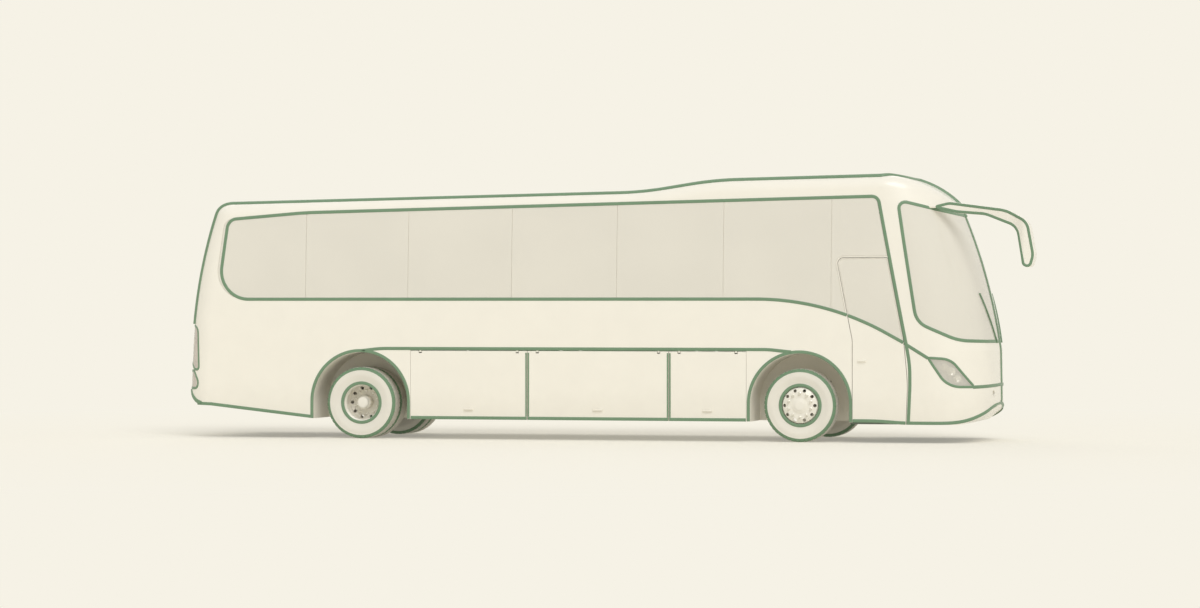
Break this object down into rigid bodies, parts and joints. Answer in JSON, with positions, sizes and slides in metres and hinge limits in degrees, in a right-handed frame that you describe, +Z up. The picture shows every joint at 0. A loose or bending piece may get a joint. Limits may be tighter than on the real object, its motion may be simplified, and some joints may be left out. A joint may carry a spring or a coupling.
{
  "type": "coach bus",
  "caption": "Full-size two-axle touring coach with turning and steering wheels, an opening entrance door, luggage doors and a rear engine lid.",
  "frame": {"origin": "on the ground, under the middle of the overall box", "axes": "+X forward, +Y to the left of the vehicle, +Z up"},
  "size_m": [12.6201, 2.68, 3.7896],
  "materials": {
    "body_paint": "gloss",
    "glass": "clear",
    "lamp_glass": "clear",
    "tail_lens": "gloss",
    "tyre": "matte",
    "wheel_paint": "satin",
    "steel": "satin",
    "rubber": "matte",
    "seat_fabric": "woven",
    "dark_plastic": "grained",
    "floor": "matte",
    "trim": "matte"
  },
  "bodies": {
    "body": {"air_springs": "rubber", "chassis_frame": "steel", "dashboard": "dark_plastic", "engine_block": "steel", "front_axle_beam": "steel", "front_bumper": "body_paint", "front_panel": "body_paint", "front_platform": "floor", "front_underpan": "dark_plastic", "headlamps": "lamp_glass", "hinge_pins": "steel", "left_side_wall": "body_paint", "luggage_hold": "floor", "mirrors": "dark_plastic", "parcel_racks": "trim", "rear_axle": "steel", "rear_bumper": "body_paint", "rear_panel": "body_paint", "rear_window": "glass", "right_side_wall": "body_paint", "roof": "body_paint", "saloon_floor": "floor", "seats": "seat_fabric", "side_windows": "glass", "steering_wheel": "dark_plastic", "tail_lamps": "tail_lens", "wheel_arch_liners": "dark_plastic", "windscreen": "glass", "wipers": "dark_plastic"},
    "front_left_steer": {"front_left_knuckle": "steel"},
    "front_right_steer": {"front_right_knuckle": "steel"},
    "front_left_wheel": {"front_left_rim": "wheel_paint", "front_left_tyre": "tyre"},
    "front_right_wheel": {"front_right_rim": "wheel_paint", "front_right_tyre": "tyre"},
    "rear_left_wheels": {"rear_left_rims": "wheel_paint", "rear_left_tyres": "tyre"},
    "rear_right_wheels": {"rear_right_rims": "wheel_paint", "rear_right_tyres": "tyre"},
    "door_post": {"entrance_door_arms": "steel"},
    "door": {"entrance_door": "body_paint", "entrance_door_glass": "glass"},
    "engine_lid": {"engine_lid": "body_paint"},
    "right_rear_luggage_door": {"right_rear_luggage_door": "body_paint"},
    "right_middle_luggage_door": {"right_middle_luggage_door": "body_paint"},
    "right_front_luggage_door": {"right_front_luggage_door": "body_paint"},
    "left_rear_luggage_door": {"left_rear_luggage_door": "body_paint"},
    "left_middle_luggage_door": {"left_middle_luggage_door": "body_paint"},
    "left_front_luggage_door": {"left_front_luggage_door": "body_paint"}
  },
  "joints": [
    {"name": "steer_left", "type": "hinge", "parent": "body", "child": "front_left_steer", "pos_m": [2.975, 0.98, 0.522], "axis": [0, 0, 1], "range_deg": [-40, 40]},
    {"name": "steer_right", "type": "hinge", "parent": "body", "child": "front_right_steer", "pos_m": [2.975, -0.98, 0.522], "axis": [0, 0, 1], "range_deg": [-40, 40]},
    {"name": "front_left_wheel_spin", "type": "hinge", "parent": "front_left_steer", "child": "front_left_wheel", "pos_m": [2.975, 1.09, 0.522], "axis": [0, 1, 0], "continuous": true},
    {"name": "front_right_wheel_spin", "type": "hinge", "parent": "front_right_steer", "child": "front_right_wheel", "pos_m": [2.975, -1.09, 0.522], "axis": [0, 1, 0], "continuous": true},
    {"name": "rear_left_wheel_spin", "type": "hinge", "parent": "body", "child": "rear_left_wheels", "pos_m": [-3.535, 0.925, 0.522], "axis": [0, 1, 0], "continuous": true},
    {"name": "rear_right_wheel_spin", "type": "hinge", "parent": "body", "child": "rear_right_wheels", "pos_m": [-3.535, -0.925, 0.522], "axis": [0, 1, 0], "continuous": true},
    {"name": "door_post_turn", "type": "hinge", "parent": "body", "child": "door_post", "pos_m": [4.18, -1.13, 1], "axis": [0, 0, 1], "range_deg": [0, 145]},
    {"name": "door_swing", "type": "hinge", "parent": "door_post", "child": "door", "pos_m": [3.77, -1.13, 1], "axis": [0, 0, 1], "range_deg": [-145, 0]},
    {"name": "right_rear_luggage_door_hinge", "type": "hinge", "parent": "body", "child": "right_rear_luggage_door", "pos_m": [-1.8915, -1.263, 1.274], "axis": [1, 0, 0], "range_deg": [-90, 0]},
    {"name": "right_middle_luggage_door_hinge", "type": "hinge", "parent": "body", "child": "right_middle_luggage_door", "pos_m": [0.033, -1.263, 1.274], "axis": [1, 0, 0], "range_deg": [-90, 0]},
    {"name": "right_front_luggage_door_hinge", "type": "hinge", "parent": "body", "child": "right_front_luggage_door", "pos_m": [1.6445, -1.263, 1.274], "axis": [1, 0, 0], "range_deg": [-90, 0]},
    {"name": "left_rear_luggage_door_hinge", "type": "hinge", "parent": "body", "child": "left_rear_luggage_door", "pos_m": [-1.8915, 1.263, 1.274], "axis": [1, 0, 0], "range_deg": [0, 90]},
    {"name": "left_middle_luggage_door_hinge", "type": "hinge", "parent": "body", "child": "left_middle_luggage_door", "pos_m": [0.033, 1.263, 1.274], "axis": [1, 0, 0], "range_deg": [0, 90]},
    {"name": "left_front_luggage_door_hinge", "type": "hinge", "parent": "body", "child": "left_front_luggage_door", "pos_m": [1.6445, 1.263, 1.274], "axis": [1, 0, 0], "range_deg": [0, 90]},
    {"name": "engine_lid_hinge", "type": "hinge", "parent": "body", "child": "engine_lid", "pos_m": [-6.229, 0, 1.64], "axis": [0, 1, 0], "range_deg": [0, 80]}
  ],
  "couplings": [
    {"joint": "steer_right", "follows": "steer_left", "ratio": 1},
    {"joint": "door_swing", "follows": "door_post_turn", "ratio": -1}
  ]
}
